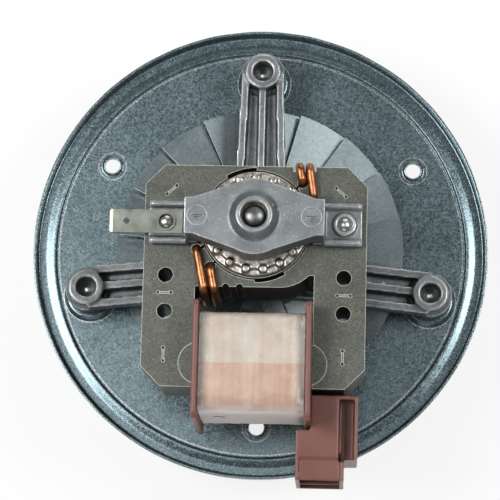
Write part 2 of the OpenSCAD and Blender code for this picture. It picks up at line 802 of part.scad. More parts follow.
// One foot of the bridge, on the +X side: an end wall, a flat foot and two round ribs
module bridge_foot() {
    translate([bridge_x - bridge_t - 1, -bridge_y, stack_top_z])
        cube([bridge_t + 1, 2 * bridge_y, bridge_h - 1]);
    translate([bridge_x - bridge_t - 1, -foot_half_w + 0.6, stack_top_z])
        cube([foot_end_x - bridge_x + bridge_t + 1, 2 * foot_half_w - 1.2, foot_t]);
    for (s = [-1, 1]) translate([bridge_x, s * (foot_half_w - foot_rib_w / 2), foot_z]) {
        rotate([0, 90, 0]) cylinder(r = foot_rib_w / 2, h = foot_end_x - bridge_x - 1);
        translate([foot_end_x - bridge_x - 1, 0, 0]) sphere(r = foot_rib_w / 2);
        translate([-0.5, -foot_rib_w / 2, -foot_t])
            cube([foot_end_x - bridge_x - 0.5, foot_rib_w, foot_t]);
    }
}

module front_bridge() {
    color(cast_grey) difference() {
        union() {
            translate([0, 0, skirt_z])
                linear_extrude(bridge_top_z - skirt_z) bridge_outline(bridge_x, bridge_y, bridge_r);
            translate([0, 0, socket_boss_z]) cylinder(r = hub_r - 0.6, h = bridge_h / 2);
            translate([0, 0, bridge_top_z]) cylinder(r1 = nose_foot_r, r2 = nose_top_r, h = nose_h);
            bridge_foot();
            mirror([1, 0, 0]) bridge_foot();
            translate([screw_x, 0, foot_z]) cylinder(r = screw_r + 1.2, h = 0.8);
        }
        for (s = [-1, 1])
            translate([s * (hub_r + bridge_x - bridge_t) / 2, 0, skirt_z - 1])
                translate([-hollow_l / 2, bridge_wall - bridge_y, 0])
                    cube([hollow_l, 2 * (bridge_y - bridge_wall), hollow_h]);
        translate([0, 0, front_bearing_z]) {
            sphere(r = bearing_r + clearance);
            translate([0, 0, -relief]) cylinder(r = bearing_seat_r, h = relief);
        }
        translate([0, 0, front_bearing_z - bearing_h / 2 - relief])
            cylinder(r = clip_r + clearance, h = relief);
        translate([0, 0, front_bearing_z]) cylinder(r = nose_hole_r, h = relief);
        translate([0, 0, nose_top_z - 0.5]) cylinder(r1 = nose_hole_r, r2 = nose_hole_r + 0.6, h = 0.6);
        for (s = [-1, 1]) translate([s * screw_x, 0, stack_top_z - 1])
            cylinder(r = screw_r + clearance, h = 10);
    }
}

module front_bearing() {
    color([0.55, 0.45, 0.32]) ball_bearing_bush(front_bearing_z);
}

module front_bearing_clip() {
    color(steel) bearing_clip(front_bearing_z - bearing_h / 2 - clip_t);
}

module front_oil_felt() {
    color([0.75, 0.72, 0.62]) translate([0, 0, front_bearing_z - bearing_h / 2 - clip_t])
        ring(felt_in_r - 0.2, felt_in_r + felt_w, clip_t);
}

// Flat push-on terminal under the left screw, with a bevelled tip and a lock hole
module earth_terminal() {
    root_x = bridge_x + 1;
    tip_x = foot_end_x + earth_blade_l;
    half = earth_w / 2;
    color([0.70, 0.68, 0.58]) difference() {
        union() {
            intersection() {
                translate([0, 0, foot_z]) linear_extrude(earth_t)
                    polygon([[-root_x, -half], [-root_x, half], [earth_corner - tip_x, half],
                             [-tip_x, half - earth_corner], [-tip_x, earth_corner - half],
                             [earth_corner - tip_x, -half]]);
                translate([0, half + 1, foot_z]) rotate([90, 0, 0]) linear_extrude(earth_w + 2)
                    polygon([[-root_x + 1, -1], [earth_bevel_l - tip_x, -1],
                             [earth_bevel_l - tip_x, 0], [-tip_x - eps, earth_bevel_t],
                             [-tip_x - eps, earth_t - earth_bevel_t],
                             [earth_bevel_l - tip_x, earth_t], [earth_bevel_l - tip_x, 2],
                             [-root_x + 1, 2]]);
            }
            translate([-screw_x, 0, foot_z])
                cylinder(r = screw_r + earth_lip_w, h = earth_t + earth_lip_h);
        }
        translate([-screw_x, 0, foot_z - 1]) cylinder(r = screw_r + clearance, h = 5);
        translate([lock_hole_x - tip_x, 0, foot_z - 1]) cylinder(r = lock_hole_r, h = 5);
    }
}

module stator_screws() {
    reach = [foot_z + earth_t + 1 - screw_head_z, foot_z + 1.4 - screw_head_z];
    color(steel) for (k = [0, 1]) translate([(k == 0 ? -1 : 1) * screw_x, 0, screw_head_z])
        difference() {
            union() {
                cylinder(r = screw_head_r, h = screw_head_h);
                domed_rod(screw_r, reach[k]);
            }
            cross_recess(1);
        }
}

mounting_plate();
plate_screws();
motor_bracket();
rear_bearing();
rear_bearing_clip();
rear_oil_felt();
cooling_fan();
fan_collar();
motor_shaft();
rotor_core();
rotor_cage();
rear_thrust_washer();
front_thrust_washer();
stator_stack();
core_bar();
coil_bobbin();
coil_winding();
coil_film();
connector_housing();
connector_contacts();
shading_ring_upper_inner();
shading_ring_upper_outer();
shading_ring_lower_inner();
shading_ring_lower_outer();
front_bridge();
front_bearing();
front_bearing_clip();
front_oil_felt();
earth_terminal();
stator_screws();
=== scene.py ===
# %% [markdown]
# # An oven fan motor, dressed in Blender
# The motor drives the hot-air impeller behind the back wall of an oven. Its solids are already
# made, in metres, with the shaft along Z and the plate's hot face at Z = 0. This lesson gives each
# of them the shape and the finish that it has in metal, film and moulded plastic.

import json
import math

import bmesh
import bpy
import numpy as np
from mathutils import Matrix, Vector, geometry


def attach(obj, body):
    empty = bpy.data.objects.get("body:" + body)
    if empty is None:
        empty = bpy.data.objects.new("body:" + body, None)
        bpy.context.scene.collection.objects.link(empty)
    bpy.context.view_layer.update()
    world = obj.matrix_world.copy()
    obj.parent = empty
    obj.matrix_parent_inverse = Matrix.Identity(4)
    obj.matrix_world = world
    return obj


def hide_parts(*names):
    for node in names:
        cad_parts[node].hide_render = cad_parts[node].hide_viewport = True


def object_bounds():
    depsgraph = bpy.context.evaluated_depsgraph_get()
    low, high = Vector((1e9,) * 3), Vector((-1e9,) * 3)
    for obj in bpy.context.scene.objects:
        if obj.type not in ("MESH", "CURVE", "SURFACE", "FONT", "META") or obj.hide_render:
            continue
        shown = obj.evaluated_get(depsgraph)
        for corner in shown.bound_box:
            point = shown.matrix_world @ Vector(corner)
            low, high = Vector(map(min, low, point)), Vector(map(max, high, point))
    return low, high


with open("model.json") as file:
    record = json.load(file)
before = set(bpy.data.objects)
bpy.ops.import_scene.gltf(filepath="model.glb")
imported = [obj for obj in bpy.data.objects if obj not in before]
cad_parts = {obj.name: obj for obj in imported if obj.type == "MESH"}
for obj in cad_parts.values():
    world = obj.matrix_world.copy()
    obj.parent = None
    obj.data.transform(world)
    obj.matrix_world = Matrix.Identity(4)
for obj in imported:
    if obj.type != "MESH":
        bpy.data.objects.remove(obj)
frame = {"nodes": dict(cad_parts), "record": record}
CAD_BOX = [list(corner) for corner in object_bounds()]
NODES = frame["nodes"]
MM = 0.001
print("solids:", len(NODES), "box in mm:", [[round(v / MM, 1) for v in c] for c in CAD_BOX])

# %% [markdown]
# ## Surfaces from arrays
# Every new surface is a grid of points: one parameter runs along a section, the other carries it
# round an axis or along a path. The grid is worked out as one array, so no loop visits a vertex.
# Where a section or a path is closed, the grid wraps round, and the piece has no seam.


# %% Grids, turned sections and pieces
def grid_quads(rows, cols, wrap_rows, wrap_cols):
    """Faces of a grid: point (i, j) is joined to (i, j+1), (i+1, j+1) and (i+1, j)."""
    i, j = np.meshgrid(np.arange(rows - (not wrap_rows)), np.arange(cols - (not wrap_cols)), indexing="ij")
    i2, j2 = (i + 1) % rows, (j + 1) % cols
    return np.stack([i * cols + j, i * cols + j2, i2 * cols + j2, i2 * cols + j], -1).reshape(-1, 4)


def ease_corners(points, radius, steps=5):
    """Closed section with round corners: corner P becomes (1-t)^2 A + 2t(1-t) P + t^2 B,
    where A and B lie on its two sides at the given distance, or half way along a short side."""
    p = np.asarray(points, float)
    radius = np.broadcast_to(radius, len(p))

    def toward(shift):
        side = np.roll(p, shift, 0) - p
        return p + side * np.minimum(radius / np.linalg.norm(side, axis=1), 0.5)[:, None]

    t = np.linspace(0, 1, steps)[None, :, None]
    curve = (1 - t) ** 2 * toward(1)[:, None] + 2 * t * (1 - t) * p[:, None] + t**2 * toward(-1)[:, None]
    return curve.reshape(-1, 2)


def turned(section, centre=(0, 0), turns=96):
    """Closed section carried round an axis along Z: (r, z) -> (x0 + r cos t, y0 + r sin t, z)."""
    t = np.linspace(0, 2 * np.pi, turns, endpoint=False)[:, None]
    r, z = np.asarray(section, float).T
    points = np.stack([centre[0] + r * np.cos(t), centre[1] + r * np.sin(t), z + 0 * t], -1)
    return points.reshape(-1, 3), grid_quads(turns, len(r), True, True)


def waves(points, size, seed):
    """Smooth unevenness between about -1 and 1: the mean of 20 sine waves in random directions,
    each about `size` millimetres long."""
    rng = np.random.default_rng(seed)
    way = rng.normal(size=(20, 3))
    way *= (2 * np.pi / size * rng.uniform(0.6, 1.5, 20) / np.linalg.norm(way, axis=1))[:, None]
    return np.sin(points @ way.T + rng.uniform(0, 2 * np.pi, 20)).mean(1) * 3


def new_object(name, mesh):
    piece = bpy.data.objects.new(name, mesh)
    bpy.context.scene.collection.objects.link(piece)
    return piece


def make_piece(name, surfaces, slot, body, *nodes, crease=38):
    """Joins surfaces given in millimetres into one piece, closes it and turns its faces outwards."""
    points, faces, first = [], [], 0
    for p, f in surfaces:
        points.append(p)
        faces += (f + first).tolist()
        first += len(p)
    points = np.concatenate(points) * MM
    mesh = bpy.data.meshes.new(name)
    mesh.from_pydata(points.tolist(), [], faces)
    solid = bmesh.new()
    solid.from_mesh(mesh)
    bmesh.ops.remove_doubles(solid, verts=solid.verts, dist=0.002 * MM)
    bmesh.ops.recalc_face_normals(solid, faces=solid.faces)
    solid.to_mesh(mesh)
    solid.free()
    return finish_piece(new_object(name, mesh), slot, body, *nodes, crease=crease)


def finish_piece(piece, slot, body, *nodes, crease=38):
    """Shades a piece smoothly up to the crease angle, hangs it under its body and hides the solids that it stands for.
    """
    mesh = piece.data
    mesh.shade_smooth()
    mesh.set_sharp_from_angle(angle=math.radians(crease))
    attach(piece, body)
    if nodes:
        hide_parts(*nodes)
    open_edges = sum(1 for e in _edges(mesh) if e != 2)
    print(f"{piece.name}: {len(mesh.polygons)} faces, open edges {open_edges}")
    return piece


def _edges(mesh):
    """How many faces each edge has."""
    used = np.empty(len(mesh.loops), np.int32)
    mesh.loops.foreach_get("edge_index", used)
    return np.bincount(used, minlength=len(mesh.edges))


# %% [markdown]
# ## The round plate
# The plate is pressed from one sheet: a bead and a turned-up rim stiffen its edge, three low pads
# carry the bosses, and three pierced collars take the screws. A press never leaves a sharp bend,
# so each form is a section with eased corners, turned about its own centre. The flat sheet
# between them is filled with triangles, which meet the turned forms point for point.

# %% Plate
PLATE_R, PLATE_T, BEAD_OUT, BEAD_IN = 65.0, 1.0, 60.8, 58.2
SHEET_R, BOLT_R, PAD_TURNS, HOLE_R = 57.85, 50.0, 48, 2.15
ARM_DIRS, MOUNT_DIRS = (90, 195, -15), (30, 150, 270)


def on_circle(radius, directions):
    a = np.radians(directions)
    return np.stack([radius * np.cos(a), radius * np.sin(a)], 1)


def flat_with_holes(outer, holes, z, flip):
    """Flat sheet between an outer circle and round holes, each (x, y, radius, points)."""
    rings = [outer] + holes
    points, edges = [], []
    for x, y, r, n in rings:
        t = np.linspace(0, 2 * np.pi, n, endpoint=False)
        first = sum(len(p) for p in points)
        points.append(np.stack([x + r * np.cos(t), y + r * np.sin(t)], 1))
        edges += [(first + k, first + (k + 1) % n) for k in range(n)]
    made = geometry.delaunay_2d_cdt([tuple(p) for p in np.concatenate(points)], edges, [], 0, 1e-6)
    flat, tris = np.array(made[0]), np.array(made[2])
    middle = flat[tris].mean(1)
    keep = np.hypot(*(middle - outer[:2]).T) < outer[2]
    for x, y, r, n in holes:
        keep &= np.hypot(middle[:, 0] - x, middle[:, 1] - y) > r
    tris = tris[keep][:, ::-1] if flip else tris[keep]
    return np.column_stack([flat, np.full(len(flat), z)]), tris


rim = ease_corners([
    (SHEET_R, 0), (BEAD_IN, 0), (BEAD_IN + 0.8, 0.75), (59.6, 0.95), (BEAD_OUT - 0.3, 0.6), (BEAD_OUT + 0.5, 0),
    (PLATE_R - 1.2, 0), (PLATE_R - 0.2, 0.7), (PLATE_R, 4.4), (PLATE_R - 0.8, 4.4), (PLATE_R - 1.0, 1.4),
    (PLATE_R - 1.4, PLATE_T), (BEAD_OUT + 0.6, PLATE_T), (BEAD_OUT - 1.0, 1.44), (BEAD_IN + 0.75, 1.54),
    (BEAD_IN + 0.2, PLATE_T), (SHEET_R, PLATE_T)],
    [0, .4, .5, .5, .5, .5, .8, .8, .25, .3, .25, .25, .4, .3, .25, .1, 0])
pad = ease_corners([(7.7, 0), (6.3, 0), (6.3, 1.2), (1.93, 1.2), (1.93, 2.2), (6.7, 2.2), (7.5, 1), (7.7, 1)],
                   [0, .4, .3, .1, .2, .5, .5, 0])
collar = ease_corners([(4, 0), (HOLE_R, 0), (HOLE_R, 1.6), (2.5, 1.6), (2.95, 1), (4, 1)],
                      [0, .25, .2, .25, .3, 0])
opening = ease_corners([(7.5, 0), (6, 0), (6, 1), (7.5, 1)], [0, .2, .3, 0])
pads, mounts = on_circle(BOLT_R, ARM_DIRS), on_circle(BOLT_R, MOUNT_DIRS)
holes = [(x, y, 7.7, PAD_TURNS) for x, y in pads] + [(x, y, 4, PAD_TURNS) for x, y in mounts]
holes.append((0, 0, 7.5, PAD_TURNS))
sheet_edge = (0, 0, SHEET_R, 192)
rim_points, rim_faces = turned(rim, turns=192)
lip = np.clip((rim_points[:, 2] - 2) / 2.4, 0, 1)
rim_points[:, :2] *= (1 - lip * 0.0012 * (1 + waves(rim_points, 9, 4)))[:, None]
plate = make_piece("plate_sheet", [
    (rim_points, rim_faces), flat_with_holes(sheet_edge, holes, 0, True),
    flat_with_holes(sheet_edge, holes, PLATE_T, False), turned(opening, turns=PAD_TURNS)]
    + [turned(pad, c, PAD_TURNS) for c in pads] + [turned(collar, c, PAD_TURNS) for c in mounts],
    "galvanised_sheet", "motor", "mounting_plate")
upright = np.empty(len(plate.data.polygons) * 3, np.float32)
plate.data.polygons.foreach_get("normal", upright)
plate.data.polygons.foreach_set("use_smooth", np.abs(upright[2::3]) < 0.9999)

# %% [markdown]
# ## Cast and moulded pieces
# The bracket and the front bridge are die-cast, and the bobbin and the connector are moulded. Such
# pieces have round corners everywhere and faces that are never quite flat. A copy of each solid
# is remeshed into small even squares and relaxed a little, which rounds every corner by the same
# amount, and then its surface is moved in and out by a few hundredths of a millimetre.


# %% Soft-cornered copies
def softened(name, node, slot, body, square, relax, uneven, seed):
    """Copy of a solid with round corners: square side and unevenness in millimetres."""
    source = new_object(name, NODES[node].data.copy())
    merged = bmesh.new()
    merged.from_mesh(source.data)
    bmesh.ops.remove_doubles(merged, verts=merged.verts, dist=0.0005 * MM)
    merged.to_mesh(source.data)
    merged.free()
    remesh = source.modifiers.new("even squares", "REMESH")
    remesh.mode = "VOXEL"
    remesh.voxel_size = square * MM
    smooth = source.modifiers.new("relax", "SMOOTH")
    smooth.factor, smooth.iterations = 0.5, relax
    mesh = bpy.data.meshes.new_from_object(source.evaluated_get(bpy.context.evaluated_depsgraph_get()))
    source.modifiers.clear()
    source.data = mesh
    points = np.empty(len(mesh.vertices) * 3, np.float32)
    normals = np.empty(len(mesh.vertices) * 3, np.float32)
    mesh.vertices.foreach_get("co", points)
    mesh.vertices.foreach_get("normal", normals)
    points, normals = points.reshape(-1, 3), normals.reshape(-1, 3)
    lift = waves(points / MM, 2.2, seed) * 0.6 + waves(points / MM, 7, seed + 1)
    points += normals * (lift[:, None] * uneven * MM)
    mesh.vertices.foreach_set("co", points.ravel())
    mesh.materials.clear()
    mesh.update()
    return finish_piece(source, slot, body, node, crease=60)


bracket = softened("bracket_casting", "motor_bracket", "bracket_casting", "motor", 0.42, 3, 0.035, 11)
bridge = softened("bridge_casting", "front_bridge", "bridge_casting", "motor", 0.3, 3, 0.025, 21)
housing = softened("connector_moulding", "connector_housing", "brown_moulding", "motor", 0.3, 2, 0.008, 31)
bobbin = softened("bobbin_moulding", "coil_bobbin", "brown_moulding", "motor", 0.36, 3, 0.03, 41)
end_rings = softened("cage_end_rings", "rotor_cage", "cage_aluminium", "rotor", 0.28, 3, 0.06, 51)

# %% [markdown]
# ## The coil
# The winding is a long wire laid turn by turn round the bar, so its surface is a rounded
# rectangle carried along X that swells and dips once for each turn. The turns slump a little, so
# the swell is uneven. A film is wrapped over it: thin, a little loose, with folds that start at the
# corners, and double over the upper half, where its end overlaps.

# %% Winding and film
BAR_Y, MID_Z, COIL_X = -37.8, 35.5, 14.05
WIRE_PITCH = 0.5


def round_loop(half_y, half_z, corner, count):
    """Points of a rounded rectangle, a superellipse of power 7 at evenly spaced angles a, with the
    outward direction of each: p = (sign(cos a) |cos a|^(2/7), sign(sin a) |sin a|^(2/7)) times the half sides."""
    a = np.linspace(0, 2 * np.pi, count, endpoint=False)
    c, s = np.cos(a), np.sin(a)
    side = 7
    way = np.stack([np.sign(c) * np.abs(c) ** (2 / side), np.sign(s) * np.abs(s) ** (2 / side)], 1)
    p = way * (half_y, half_z)
    normal = np.stack([np.sign(c) * np.abs(c) ** (2 - 2 / side) / half_y,
                       np.sign(s) * np.abs(s) ** (2 - 2 / side) / half_z], 1)
    return p, normal / np.linalg.norm(normal, axis=1)[:, None]


def coil_tube(x, lift_out, lift_in, half_y, half_z, count):
    """Tube along X round the bar: rows run out along x and back again inside. lift_out and
    lift_in give the height over the rounded rectangle, as arrays of x by angle."""
    p, n = round_loop(half_y, half_z, 5, count)
    rows_x = np.concatenate([x, x[::-1]])
    lift = np.concatenate([lift_out, lift_in[::-1]])
    yz = p[None] + n[None] * lift[..., None]
    points = np.stack([np.broadcast_to(rows_x[:, None], lift.shape), BAR_Y + yz[..., 0],
                       MID_Z + yz[..., 1]], -1)
    return points.reshape(-1, 3), grid_quads(len(rows_x), count, True, True)


def field(x, count, half_y, half_z, size, seed):
    """Unevenness over the wrapped surface, as an array of x by angle."""
    p, n = round_loop(half_y, half_z, 5, count)
    grid = np.stack([np.repeat(x, count), np.tile(p[:, 0], len(x)), np.tile(p[:, 1], len(x))], 1)
    return waves(grid, size, seed).reshape(len(x), count)


turn_x = np.linspace(-COIL_X, COIL_X, int(2 * COIL_X / WIRE_PITCH) * 4 + 1)
WIND_Y, WIND_Z, AROUND = 13.35, 17.85, 120
ripple = 0.11 * np.abs(np.cos(np.pi * turn_x / WIRE_PITCH))[:, None]
slump = 0.12 * field(turn_x, AROUND, WIND_Y, WIND_Z, 11, 61) + 0.05 * field(turn_x, AROUND, WIND_Y, WIND_Z, 3, 62)
winding = make_piece("winding_turns", [coil_tube(
    turn_x, ripple + slump, np.full_like(slump, -4.4), WIND_Y, WIND_Z, AROUND)],
    "copper_wire", "motor", "coil_winding", crease=80)

film_x = np.linspace(-COIL_X, COIL_X, 141)
FILM_AROUND, FILM_T = 240, 0.05


def film_height(seed):
    """Height of the film: it lies close, lifts at its two side edges, and folds near them."""
    edge = np.clip((np.abs(film_x) - COIL_X + 3.2) / 3.2, 0, 1)[:, None] ** 2
    p, n = round_loop(13.6, 18.1, 5, FILM_AROUND)
    corner = np.clip(np.abs(n[:, 0] * n[:, 1]) * 2, 0, 1)[None]
    folds = field(film_x, FILM_AROUND, 13.6, 18.1, 3.4, seed)
    return 0.06 + 0.10 * edge + (0.05 + 0.16 * edge + 0.10 * corner) * folds + 0.04 * field(
        film_x, FILM_AROUND, 13.6, 18.1, 9, seed + 1)


film_lift = np.clip(film_height(71), -0.02, 0.42)
film = make_piece("coil_film_wrap", [coil_tube(film_x, film_lift + FILM_T, film_lift, 13.55, 18.05, FILM_AROUND)],
                  "coil_film", "motor", "coil_film", crease=80)

# %% [markdown]
# ## The shaft
# One surface of (turn, height) makes the whole shaft: a domed nose, the bearing part, the thinner
# seat with its flat on the hot side, a relief groove and a threaded end. The thread is a radius that
# falls and rises with height plus turn, so the ridge climbs by one pitch in each turn.

# %% Shaft
THREAD_PITCH, THREAD_DEPTH = 0.8, 0.45
profile_z = np.array([-28, -28, -27.4, -18.05, -18, -17.05, -17, -8.05, -8, -7.7, 58.9, 59.8, 60.4, 60.68, 60.7])
profile_r = np.array([0, 1.9, 2.5, 2.5, 2.0, 2.0, 2.5, 2.5, 2.6, 3.0, 3.0, 2.55, 1.6, 0.5, 0])
height = np.unique(np.concatenate([profile_z, np.arange(-27.9, -18, THREAD_PITCH / 10), np.linspace(58.9, 60.7, 12),
                                   [-12.5, 0, 30]]))
turn = np.linspace(0, 2 * np.pi, 72, endpoint=False)
Z, T = np.meshgrid(height, turn, indexing="ij")
R = np.interp(Z, profile_z[1:], profile_r[1:])
phase = (Z / THREAD_PITCH - T / (2 * np.pi)) % 1
threaded = (Z < -18.02) & (Z > -27.9)
R -= np.where(threaded, THREAD_DEPTH * 2 * np.abs(phase - 0.5) * np.clip((-18 - Z) / 0.8, 0, 1), 0)
flat = (Z > -17) & (Z < -8)
R = np.where(flat, np.minimum(R, 2.1 / np.clip(np.cos(T), 0.05, 1)), R)
DOME_TOP, DOME_FOOT = 60.7, 58.9
dome = np.clip((Z - DOME_FOOT) / (DOME_TOP - DOME_FOOT), 0, 1)
R = np.where(Z > DOME_FOOT, 3.0 * np.sqrt(np.clip(1 - dome**2.2, 0, 1)), R)
body = np.stack([R * np.cos(T), R * np.sin(T), Z], -1)
cap = np.stack([0 * T[:1], 0 * T[:1], Z[:1]], -1)
shaft_grid = np.concatenate([cap, body])
shaft = make_piece("shaft_turned", [(shaft_grid.reshape(-1, 3), grid_quads(len(height) + 1, len(turn), False, True))],
                   "shaft_steel", "rotor", "motor_shaft", crease=30)

# %% [markdown]
# ## Marks in the casting and a stray fibre
# Each end of the bridge carries the usual earth sign, raised by a tenth of a millimetre in the
# casting: a ring, a stem and three bars. They are small bars with eased edges. A short dark
# fibre is caught under the film near its lower edge.


# %% Earth signs and fibre
def bar(x, y, wide, high, z, tall):
    """Low bar with sloping sides: the top is the foot drawn in by the height."""
    foot = np.array([[-1, -1], [1, -1], [1, 1], [-1, 1]]) * (wide / 2, high / 2)
    top = foot - np.sign(foot) * tall * 0.7
    points = np.concatenate([np.column_stack([foot + (x, y), np.full(4, z)]),
                             np.column_stack([top + (x, y), np.full(4, z + tall)])])
    faces = [[3, 2, 1, 0], [4, 5, 6, 7]] + [[k, (k + 1) % 4, 4 + (k + 1) % 4, 4 + k] for k in range(4)]
    return points, np.array(faces)


SIGN_Z, SIGN_H, SIGN_X = 58.75, 0.22, 15.2
for side, word in ((-1, "left"), (1, "right")):
    x = side * SIGN_X
    ring = ease_corners([(2.45, SIGN_Z), (2.85, SIGN_Z), (2.78, SIGN_Z + SIGN_H), (2.52, SIGN_Z + SIGN_H)], 0.04, 3)
    sign = [turned(ring, (x, 0), 64), bar(x, 0.95, 0.32, 1.7, SIGN_Z, SIGN_H)]
    sign += [bar(x, 0.1 - 0.62 * k, 2.5 - 0.8 * k, 0.3, SIGN_Z, SIGN_H) for k in range(3)]
    make_piece(f"earth_sign_{word}", sign, "bridge_casting", "motor")

s = np.linspace(0, 1, 40)
path = np.stack([-10.6 + 3.6 * s, -51.8 - 0.06 * np.cos(5 * s), 42.8 + 0.3 * np.sin(4 * s) - 1.3 * s**2], -1)
ahead = np.gradient(path, axis=0)
ahead /= np.linalg.norm(ahead, axis=1)[:, None]
across = np.cross(ahead, [0, 0, 1.0])
across /= np.linalg.norm(across, axis=1)[:, None]
up = np.cross(across, ahead)
a = np.linspace(0, 2 * np.pi, 8, endpoint=False)
thick = (0.09 * np.sqrt(np.clip(1 - (2 * s - 1) ** 6, 0, 1)))[:, None, None]
hair = path[:, None] + thick * (np.cos(a)[None, :, None] * across[:, None] + np.sin(a)[None, :, None] * up[:, None])
fibre = make_piece("stray_fibre", [(hair.reshape(-1, 3), grid_quads(40, 8, False, True))], "brown_moulding", "motor")

# %% [markdown]
# ## Effects that several finishes share
# A node group is built once and placed in each finish with its own values. These give only
# colours, values and heights: an uneven tone, the fine grain of blasted or cast metal, the crystals
# of a zinc coat, the edges of stacked sheets, and masks for the edges and the hollows of a piece.
# The finishes use the edge masks for real wear together with a painted highlight along the edges,
# and the hollow mask for painted shade.


# %% Node helpers
def add(tree, kind, links=(), **values):
    """Adds a node; values set its properties, and links are (socket, value or output) pairs."""
    made = tree.nodes.new(kind)
    for key, value in values.items():
        setattr(made, key, value)
    for socket, value in links:
        if isinstance(value, bpy.types.NodeSocket):
            tree.links.new(value, made.inputs[socket])
        else:
            made.inputs[socket].default_value = value
    return made


def start_group(name, inputs, outputs):
    """New shader group; inputs are (name, type, value) and outputs are (name, type)."""
    group = bpy.data.node_groups.new(name, "ShaderNodeTree")
    for label, kind, value in inputs:
        group.interface.new_socket(label, in_out="INPUT", socket_type="NodeSocket" + kind).default_value = value
    for label, kind in outputs:
        group.interface.new_socket(label, in_out="OUTPUT", socket_type="NodeSocket" + kind)
    return group, group.nodes.new("NodeGroupInput").outputs, group.nodes.new("NodeGroupOutput").inputs


def math_node(tree, operation, a, b=0.0, clamp=False):
    return add(tree, "ShaderNodeMath", [(0, a), (1, b)], operation=operation, use_clamp=clamp).outputs[0]


def spread(tree, value, low, high, out_low=0.0, out_high=1.0):
    """Map Range, clamped: low..high becomes out_low..out_high."""
    return add(tree, "ShaderNodeMapRange", [("Value", value), ("From Min", low), ("From Max", high),
                                            ("To Min", out_low), ("To Max", out_high)]).outputs[0]


def mixed(tree, factor, a, b):
    return add(tree, "ShaderNodeMix", [("Factor", factor), (6, a), (7, b)], data_type="RGBA").outputs[2]


def noise(tree, place, scale, detail=4.0, rough=0.55, warp=0.0):
    return add(tree, "ShaderNodeTexNoise", [("Vector", place), ("Scale", scale), ("Detail", detail),
                                            ("Roughness", rough), ("Distortion", warp)]).outputs[0]


def object_place(tree):
    """Object coordinates, in millimetres."""
    coords = add(tree, "ShaderNodeTexCoord").outputs["Object"]
    return add(tree, "ShaderNodeVectorMath", [(0, coords), (1, (1000, 1000, 1000))], operation="MULTIPLY").outputs[0]


# %% Groups: uneven tone, grain, spangle, sheet edges, edge wear with painted highlights, painted hollow shade
COLOUR, FLOAT, VECTOR = "Color", "Float", "Vector"
uneven_tone, gi, go = start_group("uneven tone", [
    ("Dark", COLOUR, (0.2, 0.2, 0.2, 1)), ("Light", COLOUR, (0.5, 0.5, 0.5, 1)), ("Size", FLOAT, 10.0),
    ("Contrast", FLOAT, 0.2)], [("Color", COLOUR), ("Value", FLOAT)])
place = object_place(uneven_tone)
tone = noise(uneven_tone, place, math_node(uneven_tone, "DIVIDE", 1.0, gi["Size"]), 5, 0.6, 0.4)
edge = math_node(uneven_tone, "MULTIPLY", gi["Contrast"], 1.0)
tone = spread(uneven_tone, tone, math_node(uneven_tone, "SUBTRACT", 0.5, edge), math_node(uneven_tone, "ADD", 0.5, edge))
uneven_tone.links.new(mixed(uneven_tone, tone, gi["Dark"], gi["Light"]), go["Color"])
uneven_tone.links.new(tone, go["Value"])

grain, gi, go = start_group("fine grain", [("Size", FLOAT, 0.4), ("Pits", FLOAT, 0.3)], [("Height", FLOAT), ("Pit", FLOAT)])
place = object_place(grain)
fine = noise(grain, place, math_node(grain, "DIVIDE", 1.0, gi["Size"]), 3, 0.7)
pit = noise(grain, place, math_node(grain, "DIVIDE", 0.45, gi["Size"]), 2, 0.5)
pit = spread(grain, pit, 0.62, 0.72)
height_out = math_node(grain, "SUBTRACT", fine, math_node(grain, "MULTIPLY", pit, gi["Pits"]))
grain.links.new(height_out, go["Height"])
grain.links.new(pit, go["Pit"])

spangle, gi, go = start_group("zinc spangle", [("Size", FLOAT, 1.6)], [("Cell", FLOAT), ("Fleck", FLOAT), ("Height", FLOAT)])
place = object_place(spangle)
bent = add(spangle, "ShaderNodeVectorMath", [(0, place), (1, (0.0, 0.0, 0.0))], operation="ADD")
warp = add(spangle, "ShaderNodeTexNoise", [("Vector", place), ("Scale", 0.7), ("Detail", 2.0)])
spangle.links.new(warp.outputs["Color"], bent.inputs[1])
cells = add(spangle, "ShaderNodeTexVoronoi", [("Vector", bent.outputs[0]),
            ("Scale", math_node(spangle, "DIVIDE", 1.0, gi["Size"]))], feature="F1")
tint = add(spangle, "ShaderNodeSeparateColor", [("Color", cells.outputs["Color"])]).outputs
spangle.links.new(tint[0], go["Cell"])
spangle.links.new(spread(spangle, noise(spangle, place, 2.6, 3, 0.75), 0.58, 0.70), go["Fleck"])
spangle.links.new(math_node(spangle, "ADD", math_node(spangle, "MULTIPLY", tint[1], 0.5), noise(spangle, place, 0.35, 3)), go["Height"])

sheet_edges, gi, go = start_group("stacked sheets", [("Pitch", FLOAT, 0.5)], [("Side", FLOAT), ("Height", FLOAT), ("Line", FLOAT)])
place = object_place(sheet_edges)
xyz = add(sheet_edges, "ShaderNodeSeparateXYZ", [(0, place)]).outputs
turn_in = math_node(sheet_edges, "DIVIDE", xyz["Z"], gi["Pitch"])
saw = math_node(sheet_edges, "FRACT", turn_in)
line = spread(sheet_edges, math_node(sheet_edges, "ABSOLUTE", math_node(sheet_edges, "SUBTRACT", saw, 0.5)), 0.30, 0.48)
facing = add(sheet_edges, "ShaderNodeSeparateXYZ", [(0, add(sheet_edges, "ShaderNodeNewGeometry").outputs["Normal"])]).outputs
side = spread(sheet_edges, math_node(sheet_edges, "ABSOLUTE", facing["Z"]), 0.8, 0.4)
line = math_node(sheet_edges, "MULTIPLY", line, side)
sheet_edges.links.new(side, go["Side"])
sheet_edges.links.new(line, go["Line"])
sheet_edges.links.new(math_node(sheet_edges, "MULTIPLY", line, -1.0), go["Height"])

